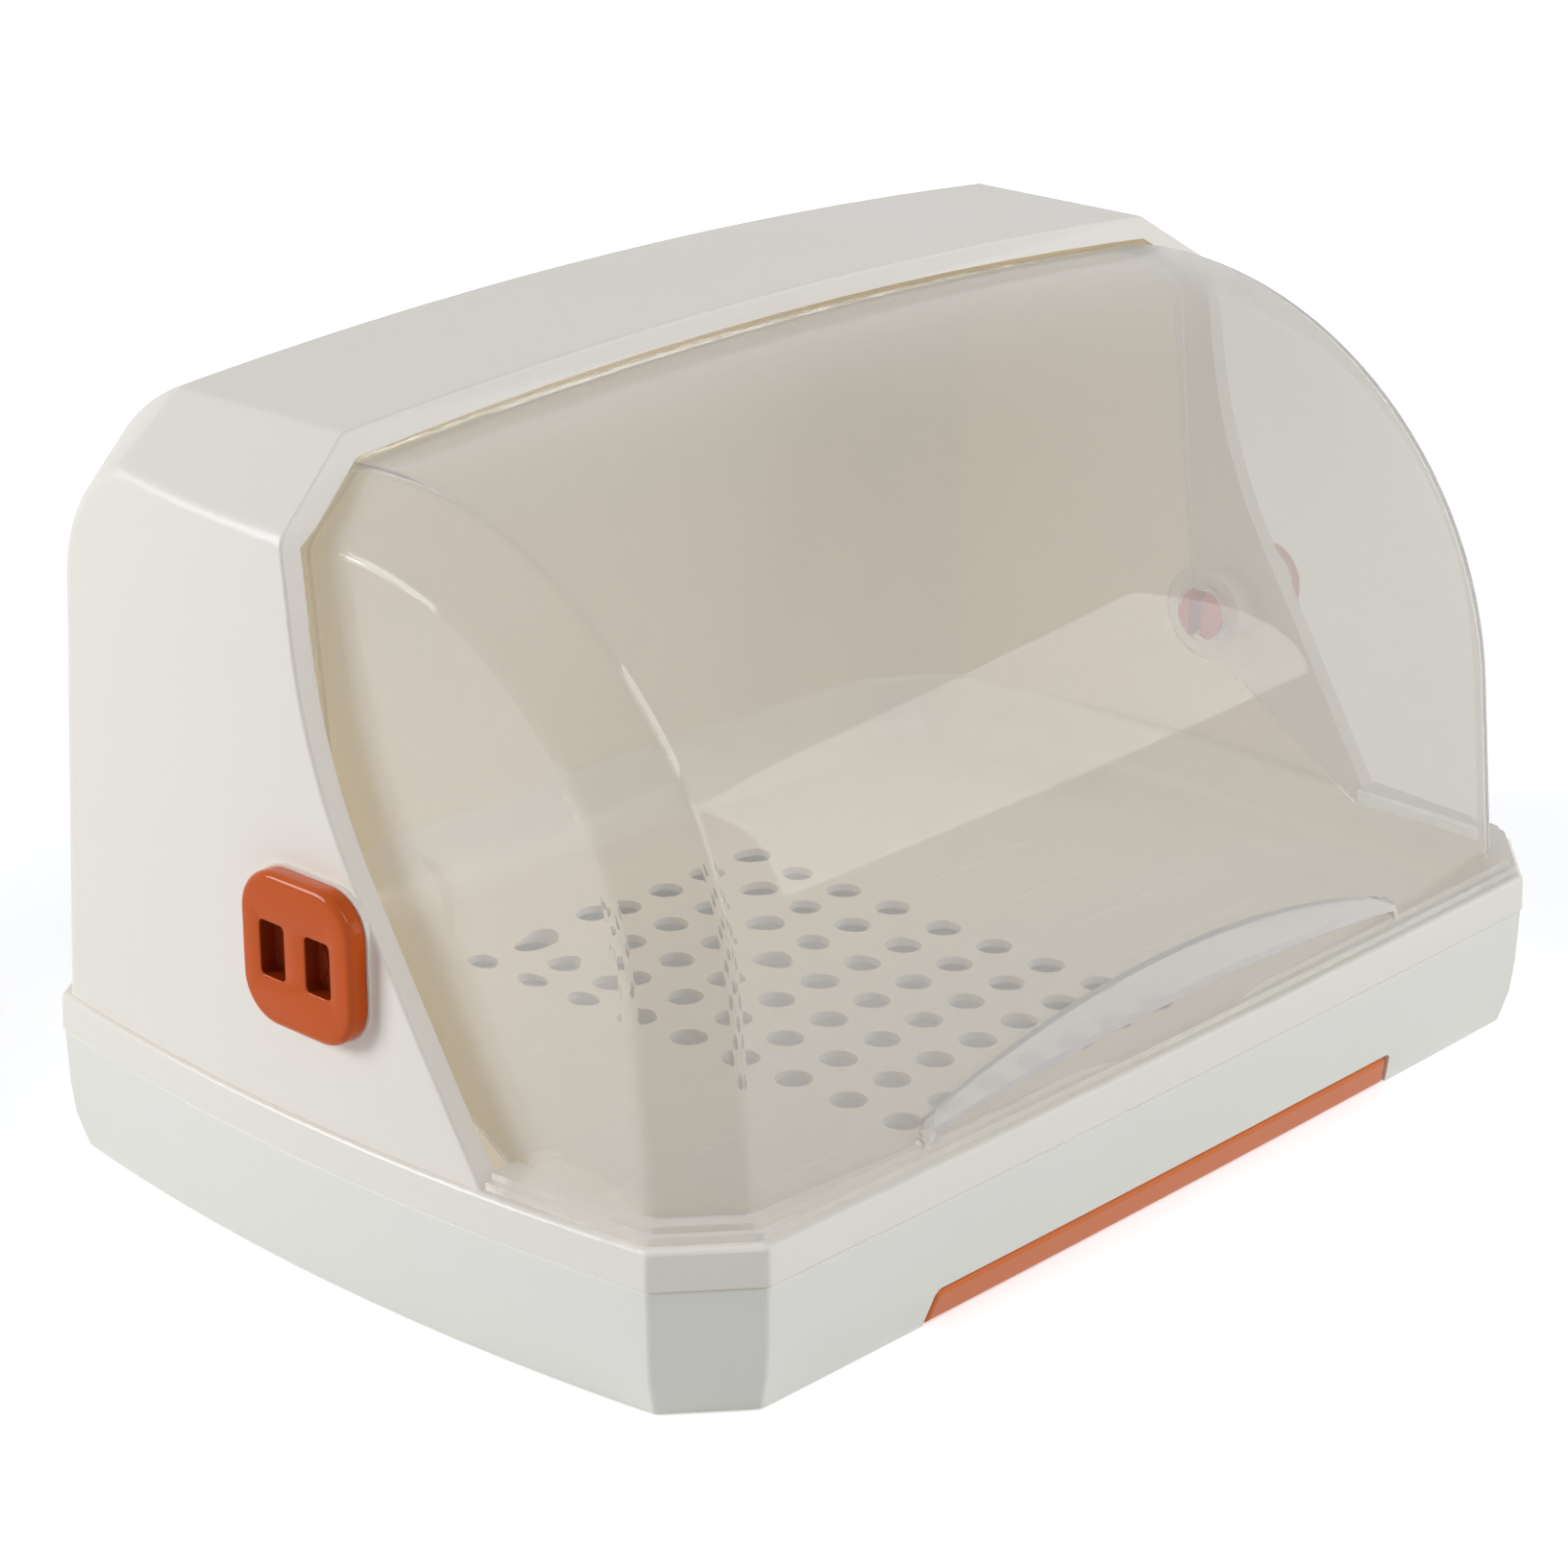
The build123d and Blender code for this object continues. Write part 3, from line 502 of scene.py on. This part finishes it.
@dataclass
class PivotPlugs:
    """The two plugs that the lid turns on: square caps with two slots, on split and barbed shanks."""

    finish: MouldedPlastic = ORANGE_CAP
    pocket_painted_shade: MouldedPlastic = ORANGE_POCKET_PAINTED_SHADE
    left_node: str = "left_pivot_plug"
    right_node: str = "right_pivot_plug"
    thick_mm: float = 5.3
    corner: Round = Round(11.5, 12)
    face_edge: Round = Round(1.9, 7)
    back_edge: Round = Round(0.6, 3)
    slot_y_mm: float = 8.7
    slot_z_mm: float = 14.0
    slot_offset_mm: float = 8.0
    slot_floor_mm: float = 0.7
    slot_corner: Round = Round(1.3, 5)
    slot_mouth: Round = Round(0.35, 3)
    shank_r_mm: float = 6.8
    shank_faces: int = 48
    barb_rise_mm: float = 0.9
    barb_length_mm: float = 3.0
    prong_gap_mm: float = 4.6
    smooth_degrees: float = 32.0

    def build(self) -> list[bpy.types.Object]:
        """Model the left plug, and make the right one from a mirrored copy.

        Returns:
            Both plugs.
        """
        left = self.model_left()
        right = mesh_copy(left, "right_plug")
        edit_whole(right)
        bpy.ops.transform.resize(value=(-1.0, 1.0, 1.0), center_override=(0.0, 0.0, 0.0))
        bpy.ops.mesh.normals_make_consistent(inside=False)
        bpy.ops.object.mode_set(mode="OBJECT")
        for plug, node in ((left, self.left_node), (right, self.right_node)):
            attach(plug, Body.CASE.value)
            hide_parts(node)
        return [left, right]

    def model_left(self) -> bpy.types.Object:
        """Model the left plug in place.

        Returns:
            The plug with its two finishes, one of them painted shade in the slots.
        """
        low, high = (Vector(corner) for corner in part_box(self.left_node))
        middle = (low + high) / 2
        half_side = (high.z - low.z) / 2
        seat_x = low.x + self.thick_mm * MILLIMETRE
        pocket_x = seat_x - self.slot_floor_mm * MILLIMETRE
        plug = rounded_block("left_plug", Vector((low.x, middle.y - half_side, low.z)),
                             Vector((seat_x, middle.y + half_side, high.z)), self.corner)
        round_level(plug, Axis.X, low.x, self.face_edge)
        round_level(plug, Axis.X, seat_x, self.back_edge)
        self.cut_slots(plug, low.x, pocket_x, middle)
        combine(plug, self.model_shank(seat_x, high.x, middle), Operation.ADD)
        clear_slivers(plug)
        plug.data.materials.append(material_of(self.finish))
        mouth_x = low.x + self.slot_mouth.radius_mm * MILLIMETRE
        # The slots' walls and floors get the darker orange: painted shade in the recesses.
        add_finish(plug, self.pocket_painted_shade, lambda face: mouth_x < face.center.x < pocket_x + NEAR
                   and self.in_slot(face.center, middle))
        bpy.ops.object.shade_smooth_by_angle(angle=radians(self.smooth_degrees))
        return plug

    def cut_slots(self, cap: bpy.types.Object, face_x: float, pocket_x: float, middle: Vector) -> None:
        """Cut the two blind slots into the cap, and round their mouths.

        Args:
            cap: The cap.
            face_x: Where the cap's face is.
            pocket_x: Where the slots end.
            middle: A point on the pivot axis.
        """
        half_y, half_z = self.slot_y_mm / 2 * MILLIMETRE, self.slot_z_mm / 2 * MILLIMETRE
        for side in (-1, 1):
            slot_y = middle.y + side * self.slot_offset_mm * MILLIMETRE
            slot = rounded_block("slot", Vector((face_x - OVERLAP, slot_y - half_y, middle.z - half_z)),
                                 Vector((pocket_x, slot_y + half_y, middle.z + half_z)), self.slot_corner)
            combine(cap, slot, Operation.CUT)
        pick_edges(cap, lambda a, b: max(a.x, b.x) < face_x + NEAR
                   and self.in_slot(a, middle) and self.in_slot(b, middle))
        self.slot_mouth.bevel()

    def in_slot(self, place: Vector, middle: Vector) -> bool:
        """Tell whether a point is in a slot, seen along the pivot axis.

        Args:
            place: The point.
            middle: A point on the pivot axis.

        Returns:
            Whether it lies in the outline of one of the slots, or on it.
        """
        from_slot_y = abs(abs(place.y - middle.y) - self.slot_offset_mm * MILLIMETRE)
        from_slot_z = abs(place.z - middle.z)
        return (from_slot_y < self.slot_y_mm / 2 * MILLIMETRE + NEAR
                and from_slot_z < self.slot_z_mm / 2 * MILLIMETRE + NEAR)

    def model_shank(self, seat_x: float, tip_x: float, middle: Vector) -> bpy.types.Object:
        """Model the shank: a round rod with a barb at its end, split in two prongs.

        Args:
            seat_x: Where the cap's back is.
            tip_x: Where the prongs end.
            middle: A point on the pivot axis.

        Returns:
            The shank, which starts inside the cap.
        """
        root_x = seat_x - OVERLAP
        barb_x = tip_x - self.barb_length_mm * MILLIMETRE
        select_none()
        bpy.ops.mesh.primitive_cylinder_add(
            vertices=self.shank_faces, radius=self.shank_r_mm * MILLIMETRE, depth=barb_x - root_x,
            location=((barb_x + root_x) / 2, middle.y, middle.z), rotation=(0.0, radians(90.0), 0.0))
        shank = bpy.context.object
        bpy.ops.object.transform_apply(location=True, rotation=True, scale=True)
        pick_faces(shank, lambda face: face.normal.x > FACING)
        axis = (barb_x, middle.y, middle.z)
        wide = 1.0 + self.barb_rise_mm / self.shank_r_mm
        narrow = (self.shank_r_mm - self.barb_rise_mm) / (self.shank_r_mm + self.barb_rise_mm)
        bpy.ops.mesh.extrude_region_move()
        bpy.ops.transform.resize(value=(1.0, wide, wide), center_override=axis)
        bpy.ops.mesh.extrude_region_move(TRANSFORM_OT_translate={"value": (tip_x - barb_x, 0.0, 0.0)})
        bpy.ops.transform.resize(value=(1.0, narrow, narrow), center_override=axis)
        bpy.ops.object.mode_set(mode="OBJECT")
        half_gap, reach = self.prong_gap_mm / 2 * MILLIMETRE, 2 * self.shank_r_mm * MILLIMETRE
        gap = rounded_block("gap", Vector((seat_x, middle.y - half_gap, middle.z - reach)),
                            Vector((tip_x + OVERLAP, middle.y + half_gap, middle.z + reach)))
        combine(shank, gap, Operation.CUT)
        return shank


@dataclass
class DripTray:
    """A shallow pan with drafted walls and a rounded floor, that catches what drains."""

    node: str = "drip_tray"
    # The tray's extra whiteness is painted light that brightens what shows through the holes.
    finish: MouldedPlastic = WHITE_TRAY_PAINTED_BRIGHT
    wall_mm: float = 1.6
    floor_mm: float = 1.6
    draft_mm: float = 0.6
    corner: Round = Round(5.0, 6)
    floor_edge: Round = Round(1.6, 4)
    rim_edge: Round = Round(0.5, 3)
    foot_edge: Round = Round(0.5, 2)
    smooth_degrees: float = 40.0

    def build(self) -> bpy.types.Object:
        """Model the pan in place.

        Returns:
            The pan.
        """
        low, high = (Vector(corner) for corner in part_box(self.node))
        size, middle = high - low, (low + high) / 2
        pan = rounded_block("drip_pan", low, high, self.corner, Axis.Z)
        floor_z = low.z + self.floor_mm * MILLIMETRE
        pick_faces(pan, lambda face: face.normal.z > FACING)
        bpy.ops.mesh.inset(thickness=self.wall_mm * MILLIMETRE)
        bpy.ops.mesh.extrude_region_move(TRANSFORM_OT_translate={"value": (0.0, 0.0, floor_z - high.z)})
        pull_in = 2 * self.draft_mm * MILLIMETRE
        bpy.ops.transform.resize(value=(1.0 - pull_in / size.x, 1.0 - pull_in / size.y, 1.0),
                                 center_override=tuple(middle))
        bpy.ops.object.mode_set(mode="OBJECT")
        round_level(pan, Axis.Z, floor_z, self.floor_edge)
        round_level(pan, Axis.Z, high.z, self.rim_edge)
        round_level(pan, Axis.Z, low.z, self.foot_edge)
        dress(pan, self.finish, Body.TRAY)
        bpy.ops.object.shade_smooth_by_angle(angle=radians(self.smooth_degrees))
        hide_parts(self.node)
        return pan


@dataclass
class Feet:
    """Four rubber pads with a rounded rim round a dished middle."""

    nodes: tuple[str, ...] = ("foot_front_left", "foot_front_right", "foot_back_left", "foot_back_right")
    finish: MouldedPlastic = FOOT_RUBBER
    side_faces: int = 48
    rim_mm: float = 1.6
    dish_mm: float = 0.25
    edge: Round = Round(0.3, 3)
    smooth_degrees: float = 35.0

    def build(self) -> list[bpy.types.Object]:
        """Model one pad, and copy it to the other pockets.

        Returns:
            The four pads.
        """
        boxes = {node: [Vector(corner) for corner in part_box(node)] for node in self.nodes}
        first = self.nodes[0]
        pads = []
        for node in self.nodes:
            if node == first:
                pad = self.model_pad(*boxes[node])
            else:
                # A copy of the first pad, moved to this pad's place.
                pad = mesh_copy(pads[0], node + "_pad")
                edit_whole(pad)
                bpy.ops.transform.translate(value=boxes[node][0] - boxes[first][0])
                bpy.ops.object.mode_set(mode="OBJECT")
            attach(pad, Body.CASE.value)
            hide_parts(node)
            pads.append(pad)
        return pads

    def model_pad(self, low: Vector, high: Vector) -> bpy.types.Object:
        """Model the first pad in place.

        Args:
            low: The lowest corner of its box.
            high: The highest corner.

        Returns:
            The pad.
        """
        select_none()
        bpy.ops.mesh.primitive_cylinder_add(vertices=self.side_faces, radius=(high.x - low.x) / 2,
                                            depth=high.z - low.z, location=(low + high) / 2)
        pad = bpy.context.object
        pad.name = self.nodes[0] + "_pad"
        bpy.ops.object.transform_apply(location=True, rotation=True, scale=True)
        round_level(pad, Axis.Z, low.z, self.edge)
        pick_faces(pad, lambda face: face.normal.z < -FACING)
        bpy.ops.mesh.inset(thickness=self.rim_mm * MILLIMETRE)
        bpy.ops.mesh.inset(thickness=self.dish_mm * MILLIMETRE)
        bpy.ops.transform.translate(value=(0.0, 0.0, self.dish_mm * MILLIMETRE))
        bpy.ops.object.mode_set(mode="OBJECT")
        pad.data.materials.append(material_of(self.finish))
        bpy.ops.object.shade_smooth_by_angle(angle=radians(self.smooth_degrees))
        return pad


def select_none() -> None:
    """Deselect everything."""
    bpy.ops.object.select_all(action="DESELECT")


def select_only(piece: bpy.types.Object) -> None:
    """Select one object, and make it the active one.

    Args:
        piece: The object.
    """
    select_none()
    piece.select_set(True)
    bpy.context.view_layer.objects.active = piece


def edit_whole(piece: bpy.types.Object) -> None:
    """Enter edit mode with all of a piece's mesh selected.

    Args:
        piece: The piece.
    """
    select_only(piece)
    bpy.ops.object.mode_set(mode="EDIT")
    bpy.ops.mesh.select_mode(type=Element.VERTEX.value)
    bpy.ops.mesh.select_all(action="SELECT")


def clear_picks(piece: bpy.types.Object, element: Element) -> None:
    """Deselect all of a mesh, and leave edit mode.

    Args:
        piece: The piece.
        element: The element that is picked next.
    """
    select_only(piece)
    bpy.ops.object.mode_set(mode="EDIT")
    bpy.ops.mesh.select_mode(type=element.value)
    bpy.ops.mesh.select_all(action="DESELECT")
    bpy.ops.object.mode_set(mode="OBJECT")


def pick_vertices(piece: bpy.types.Object, wanted: Callable[[Vector], bool]) -> None:
    """Select the vertices of a piece by their place, and enter edit mode.

    Args:
        piece: The piece.
        wanted: The test of a vertex's place.
    """
    clear_picks(piece, Element.VERTEX)
    for vertex in piece.data.vertices:
        vertex.select = wanted(vertex.co)
    bpy.ops.object.mode_set(mode="EDIT")


def pick_edges(piece: bpy.types.Object, wanted: Callable[[Vector, Vector], bool]) -> None:
    """Select the edges of a piece by their ends, and enter edit mode.

    Args:
        piece: The piece.
        wanted: The test of an edge's two ends.
    """
    clear_picks(piece, Element.EDGE)
    points = [vertex.co.copy() for vertex in piece.data.vertices]
    for edge in piece.data.edges:
        edge.select = wanted(points[edge.vertices[0]], points[edge.vertices[1]])
    bpy.ops.object.mode_set(mode="EDIT")


def pick_faces(piece: bpy.types.Object, wanted: Callable[[bpy.types.MeshPolygon], bool]) -> None:
    """Select the faces of a piece by a test, and enter edit mode.

    Args:
        piece: The piece.
        wanted: The test of a face.
    """
    clear_picks(piece, Element.FACE)
    for face in piece.data.polygons:
        face.select = wanted(face)
    bpy.ops.object.mode_set(mode="EDIT")


def round_level(piece: bpy.types.Object, axis: Axis, level: float, rounding: Round) -> None:
    """Round the edges of a piece that lie at one level of an axis.

    Args:
        piece: The piece.
        axis: The axis.
        level: The level along it.
        rounding: The radius of the edges, and the faces across them.
    """
    along = axis.value
    pick_edges(piece, lambda a, b: max(abs(a[along] - level), abs(b[along] - level)) < NEAR)
    rounding.bevel()


def rounded_block(name: str, low: Vector, high: Vector, corner: Round | None = None,
                  axis: Axis = Axis.X) -> bpy.types.Object:
    """Model a block whose four edges along one axis are rounded or sharp.

    Args:
        name: The name of the block.
        low: Its lowest corner.
        high: Its highest corner.
        corner: The radius of the four edges, and the faces across them. Without it they stay sharp.
        axis: The axis that the four edges run along.

    Returns:
        The block.
    """
    select_none()
    bpy.ops.mesh.primitive_cube_add(size=1.0, location=(low + high) / 2)
    block = bpy.context.object
    block.name = name
    block.scale = high - low
    bpy.ops.object.transform_apply(location=True, rotation=True, scale=True)
    if corner:
        along = axis.value
        pick_edges(block, lambda a, b: abs(a[along] - b[along]) > (high[along] - low[along]) / 2)
        corner.bevel()
    return block


def combine(piece: bpy.types.Object, block: bpy.types.Object, operation: Operation) -> None:
    """Cut a block from a piece or add it, and delete the block.

    Args:
        piece: The piece that stays.
        block: The block that goes into it.
        operation: What the block does to the piece.
    """
    modifier = piece.modifiers.new("combine", "BOOLEAN")
    modifier.operation = operation.value
    modifier.object = block
    select_only(piece)
    bpy.ops.object.modifier_apply(modifier=modifier.name)
    bpy.data.objects.remove(block, do_unlink=True)


def clear_slivers(piece: bpy.types.Object) -> None:
    """Merge the doubles of a piece, and take out faces without an area.

    Args:
        piece: The piece.
    """
    edit_whole(piece)
    bpy.ops.mesh.remove_doubles(threshold=MERGE_DISTANCE)
    bpy.ops.mesh.dissolve_degenerate(threshold=MERGE_DISTANCE)
    bpy.ops.object.mode_set(mode="OBJECT")


def level_normals(piece: bpy.types.Object) -> None:
    """Let the large faces of a piece keep their own shading beside the small rounds.

    Args:
        piece: The piece, which already has its sharp edges.
    """
    modifier = piece.modifiers.new("level_normals", "WEIGHTED_NORMAL")
    modifier.keep_sharp = True
    select_only(piece)
    bpy.ops.object.modifier_apply(modifier=modifier.name)


def mesh_copy(piece: bpy.types.Object, name: str) -> bpy.types.Object:
    """Copy a piece with its own mesh.

    Args:
        piece: The piece to copy.
        name: The name of the copy.

    Returns:
        The copy.
    """
    twin = piece.copy()
    twin.data = piece.data.copy()
    twin.name = name
    bpy.context.scene.collection.objects.link(twin)
    return twin


def material_of(finish: Finish) -> bpy.types.Material:
    """Give the material of a finish, built on its first use."""
    return bpy.data.materials.get(finish.name) or finish.build()


def add_finish(piece: bpy.types.Object, finish: Finish,
               wanted: Callable[[bpy.types.MeshPolygon], bool]) -> None:
    """Give some faces of a piece a further finish.

    Args:
        piece: The piece, which already has its main finish.
        finish: The further finish.
        wanted: The test of a face.
    """
    piece.data.materials.append(material_of(finish))
    for face in piece.data.polygons:
        if wanted(face):
            face.material_index = len(piece.data.materials) - 1


def dress(piece: bpy.types.Object, finish: Finish, body: Body) -> None:
    """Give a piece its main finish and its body.

    Args:
        piece: The piece.
        finish: The finish that covers it.
        body: The body that it rides on.
    """
    piece.data.materials.clear()
    piece.data.materials.append(material_of(finish))
    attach(piece, body.value)


@dataclass
class Lamp:
    """A soft square lamp that looks at the middle of the box, with its side in metres and its watts."""

    name: str
    place: tuple[float, float, float]
    side: float
    watts: float
    colour: str
    mirrored: bool = False

    def build(self, target: Vector) -> bpy.types.Object:
        """Build the lamp.

        Args:
            target: The point that it looks at.

        Returns:
            The lamp's object.
        """
        data = bpy.data.lights.new(self.name, "AREA")
        data.shape = "SQUARE"
        data.size = self.side
        data.energy = self.watts
        data.color = from_hex(self.colour)[:3]
        lamp = bpy.data.objects.new(self.name, data)
        lamp.location = Vector(self.place)
        lamp.rotation_euler = (target - lamp.location).to_track_quat("-Z", "Y").to_euler()
        lamp.visible_glossy = self.mirrored
        bpy.context.scene.collection.objects.link(lamp)
        return lamp


@dataclass
class Studio:
    """The camera, a pale floor, the surroundings and soft lamps on both sides.

    The floor's white grows from floor_lift near the box, where the shadow shows, to full white
    between lift_start and lift_end. The camera's turn is in degrees.
    """

    floor_size: float = 12.0
    floor_colour: str = "#EFEFEF"
    floor_lift: float = 0.5
    lift_start: float = 0.22
    lift_end: float = 0.9
    ambient: float = 0.17
    lamp_colour: str = "#F4F8FF"
    lens_mm: float = 96.3
    sensor_mm: float = 36.0
    camera_place: tuple[float, float, float] = (-0.75825, -0.69688, 0.47655)
    camera_turn: tuple[float, float, float] = (68.949, 0.0, -46.908)
    target: tuple[float, float, float] = (0.0, 0.0, 0.1)

    def build(self) -> None:
        """Build everything around the box."""
        self.build_camera()
        self.build_floor()
        self.build_world()
        self.build_lamps()
        bpy.context.scene.view_settings.view_transform = "Standard"

    def build_camera(self) -> None:
        """Set the camera at the photograph's viewing angle."""
        data = bpy.data.cameras.new("camera")
        data.lens = self.lens_mm
        data.sensor_width = self.sensor_mm
        camera = bpy.data.objects.new("camera", data)
        camera.location = self.camera_place
        camera.rotation_euler = Euler([radians(angle) for angle in self.camera_turn])
        bpy.context.scene.collection.objects.link(camera)
        bpy.context.scene.camera = camera

    def build_floor(self) -> None:
        """Lay the floor, which shows white to the eye and in gloss, and keeps the shadow."""
        select_none()
        bpy.ops.mesh.primitive_plane_add(size=self.floor_size, location=(0, 0, 0))
        floor = bpy.context.object
        floor.name = "floor"
        material, tree = new_tree("matt_white_paper")
        place = add_node(tree, "ShaderNodeTexCoord").outputs["Object"]
        distance = add_node(tree, "ShaderNodeVectorMath", {0: place}, operation="LENGTH")
        level = add_node(tree, "ShaderNodeMapRange", {
            "Value": distance.outputs["Value"], "From Min": self.lift_start, "From Max": self.lift_end,
            "To Min": self.floor_lift, "To Max": 1.0}, interpolation_type="SMOOTHSTEP")
        lift = add_node(tree, "ShaderNodeMath", {
            0: seen_rays(tree), 1: level.outputs["Result"]}, operation="MULTIPLY")
        paper = add_node(tree, "ShaderNodeBsdfPrincipled", {
            "Base Color": from_hex(self.floor_colour), "Roughness": 0.9, "Specular IOR Level": 0.2,
            "Emission Color": WHITE, "Emission Strength": lift.outputs[0]})
        path = add_node(tree, "ShaderNodeLightPath")
        plain = add_node(tree, "ShaderNodeEmission", {"Color": WHITE, "Strength": 1.0})
        surface = add_node(tree, "ShaderNodeMixShader", {
            0: path.outputs["Is Glossy Ray"], 1: paper.outputs["BSDF"], 2: plain.outputs["Emission"]})
        add_node(tree, "ShaderNodeOutputMaterial", {"Surface": surface.outputs["Shader"]})
        floor.data.materials.append(material)

    def build_world(self) -> None:
        """Give level light from all sides, and white to the camera, to gloss and through the lid."""
        world = bpy.data.worlds.new("studio")
        world.use_nodes = True
        tree = world.node_tree
        tree.nodes.clear()
        seen = seen_rays(tree)
        strength = add_node(tree, "ShaderNodeMapRange", {
            "Value": seen, "To Min": self.ambient, "To Max": 1.0})
        tone = add_node(tree, "ShaderNodeMix", {
            "Factor": seen, MIX_A: from_hex(self.lamp_colour), MIX_B: WHITE}, data_type="RGBA")
        light = add_node(tree, "ShaderNodeBackground", {
            "Color": tone.outputs[MIX_RESULT], "Strength": strength.outputs["Result"]})
        add_node(tree, "ShaderNodeOutputWorld", {"Surface": light.outputs["Background"]})
        bpy.context.scene.world = world

    def build_lamps(self) -> None:
        """Hang the four lamps: a strong one behind on the left, and three weak ones in front."""
        lamps = [
            Lamp("left_back_key", (-2.24, 1.82, 1.22), side=1.26, watts=61.0, colour=self.lamp_colour,
                 mirrored=True),
            Lamp("left_front_fill", (-1.8, -0.6, 0.8), side=0.9, watts=2.0, colour=self.lamp_colour),
            Lamp("front_softbox", (1.3, -1.5, 0.6), side=0.9, watts=13.5, colour=self.lamp_colour),
            Lamp("front_overhead", (0.3, -1.3, 1.6), side=0.9, watts=13.5, colour=self.lamp_colour,
                 mirrored=True),
        ]
        for lamp in lamps:
            lamp.build(Vector(self.target))


def seen_rays(tree: bpy.types.NodeTree) -> bpy.types.NodeSocket:
    """Tell the rays of the eye, of gloss and of transmission from those that light the scene.

    Args:
        tree: The node tree that takes the nodes.

    Returns:
        A socket that is 1 for those rays and 0 for the others.
    """
    path = add_node(tree, "ShaderNodeLightPath")
    first = add_node(tree, "ShaderNodeMath", {
        0: path.outputs["Is Camera Ray"], 1: path.outputs["Is Glossy Ray"]}, operation="MAXIMUM")
    second = add_node(tree, "ShaderNodeMath", {
        0: first.outputs[0], 1: path.outputs["Is Transmission Ray"]}, operation="MAXIMUM")
    return second.outputs[0]


def main() -> None:
    """Build the studio and the pieces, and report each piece."""
    logging.basicConfig(level=logging.INFO, format="%(name)s: %(message)s")
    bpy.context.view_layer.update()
    Studio().build()
    shells = [
        Shell("lower_base", Body.CASE, Slot.BASE_SHELL, GREY_BASE),
        Deck("drain_deck", Body.CASE, Slot.CASING, CREAM_DECK, smooth_degrees=50.0),
        Hood("hood", Body.CASE, Slot.CASING, CREAM_CASING),
        Lid("lid", Body.LID, Slot.CLEAR_LID, CLEAR_LID, smooth_degrees=15.0, level_shading=False),
        Shell("tray_pull", Body.TRAY, Slot.ORANGE_PULL, ORANGE_PULL),
    ]
    pieces = [shell.build() for shell in shells]
    pieces += PivotPlugs().build()
    pieces.append(DripTray().build())
    pieces += Feet().build()
    for piece in pieces:
        LOG.info("%s has %d faces", piece.name, len(piece.data.polygons))


if __name__ == "__main__":
    main()
